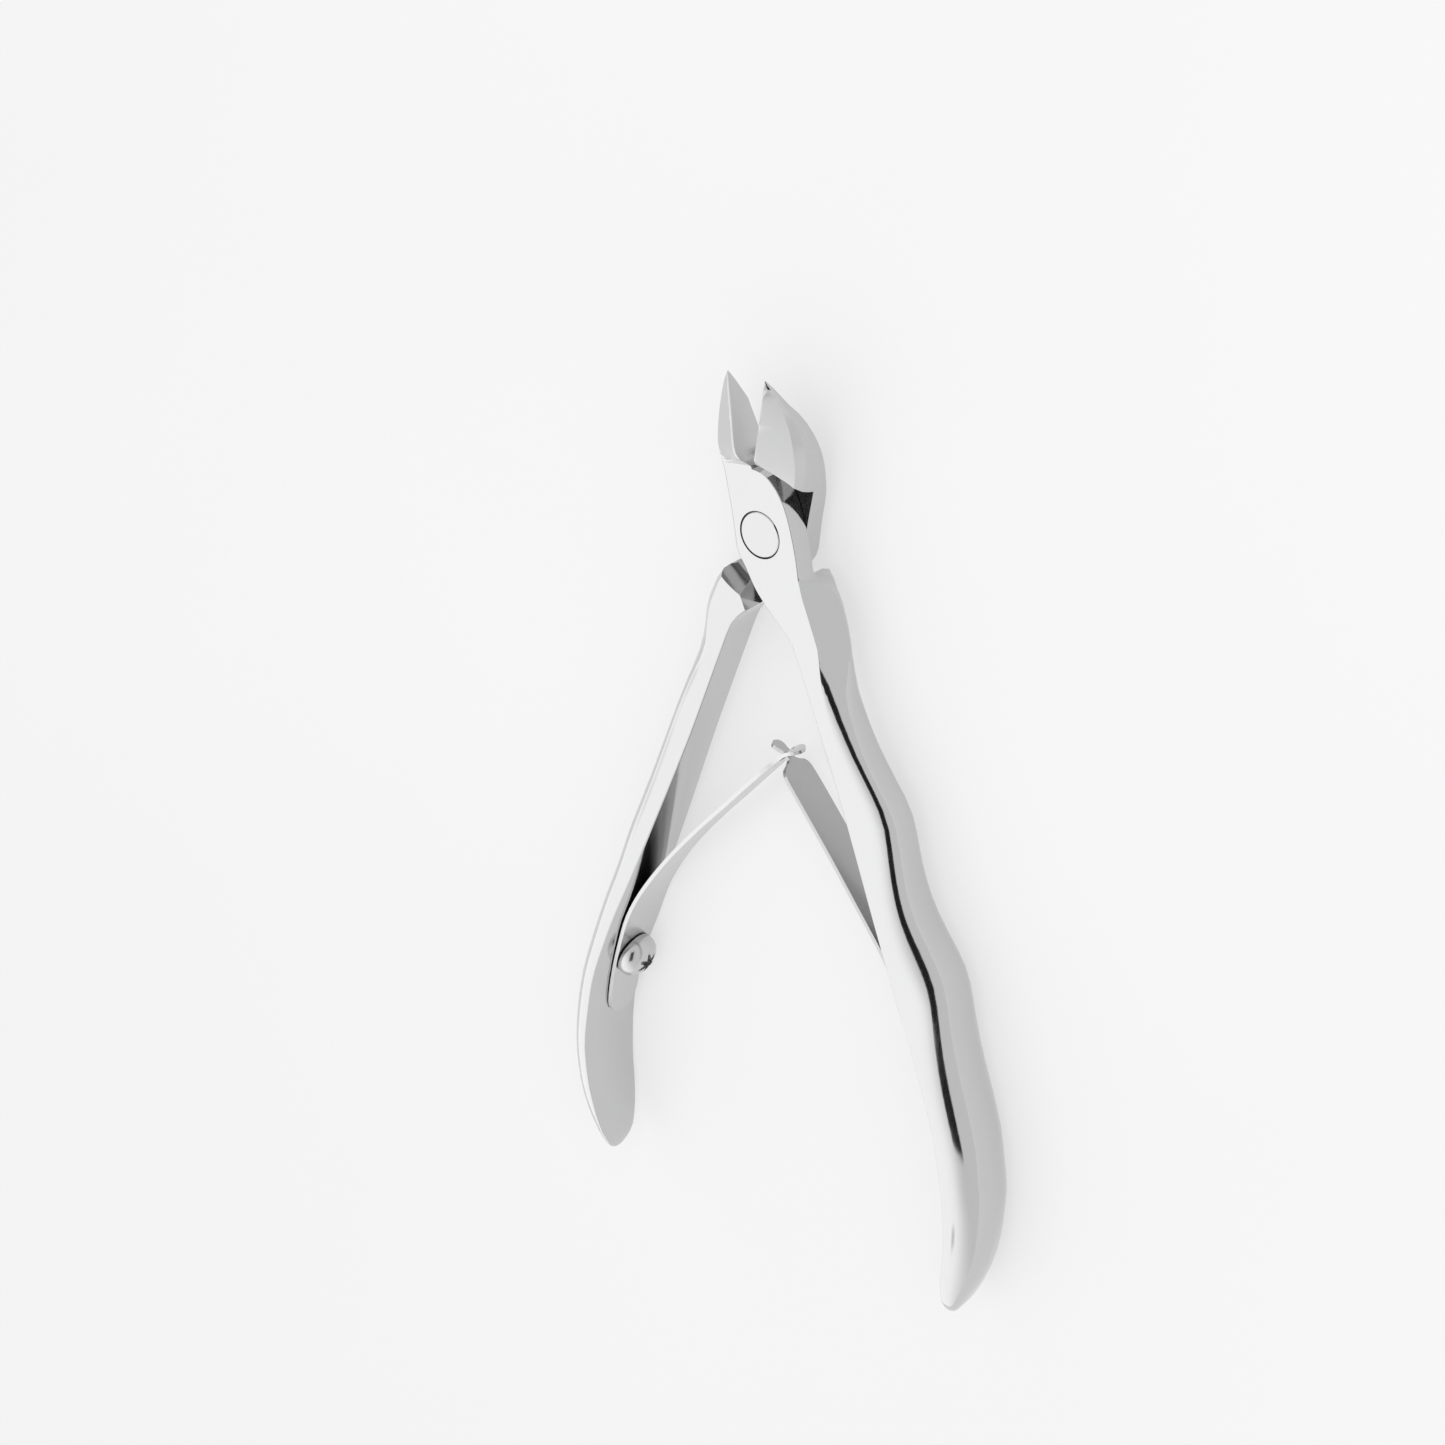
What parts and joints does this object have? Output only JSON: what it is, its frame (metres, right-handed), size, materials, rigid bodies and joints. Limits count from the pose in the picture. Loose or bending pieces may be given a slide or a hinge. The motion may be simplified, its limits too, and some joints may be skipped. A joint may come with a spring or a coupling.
{
  "type": "cuticle nipper",
  "caption": "Steel cuticle nipper with a lap joint, pointed jaws, one waved and one plain handle, and interlocked leaf springs that hold it open.",
  "frame": {"origin": "on the pivot axis, in the joint's flat back face (the end of the rivet)", "axes": "+Z along the pivot axis out of the front face, +Y towards the jaw tips, +X towards the waved handle; the tool lies flat and rests open"},
  "size_m": [0.0712, 0.127, 0.011],
  "materials": {
    "polished_steel_front": "polished stainless steel",
    "polished_steel_back": "polished stainless steel",
    "rivet_steel": "ground flush with the cheeks",
    "spring_steel_right": "satin spring steel",
    "spring_steel_left": "satin spring steel",
    "screw_steel_right": "domed screw head, satin",
    "screw_steel_left": "domed screw head, satin"
  },
  "bodies": {
    "front": {"front_half": "polished_steel_front", "pivot_rivet": "rivet_steel", "screw_right": "screw_steel_right"},
    "back": {"back_half": "polished_steel_back", "screw_left": "screw_steel_left"},
    "leaf_right": {"spring_right": "spring_steel_right"},
    "leaf_left": {"spring_left": "spring_steel_left"}
  },
  "joints": [
    {"name": "pivot", "type": "hinge", "parent": "front", "child": "back", "pos_m": [0, 0, 0], "axis": [0, 0, 1], "range_deg": [0, 15], "stiffness_Nm_per_rad": 1},
    {"name": "leaf_right_flex", "type": "hinge", "parent": "front", "child": "leaf_right", "pos_m": [0.0246, -0.0639, 0.0027], "axis": [0, 0, 1], "range_deg": [-7, 0], "deforming": ["spring_right"]},
    {"name": "leaf_left_flex", "type": "hinge", "parent": "back", "child": "leaf_left", "pos_m": [-0.0246, -0.0639, 0.0027], "axis": [0, 0, 1], "range_deg": [0, 7], "deforming": ["spring_left"]}
  ],
  "couplings": [
    {"joint": "leaf_right_flex", "follows": "pivot", "ratio": -0.43},
    {"joint": "leaf_left_flex", "follows": "pivot", "ratio": 0.43}
  ]
}
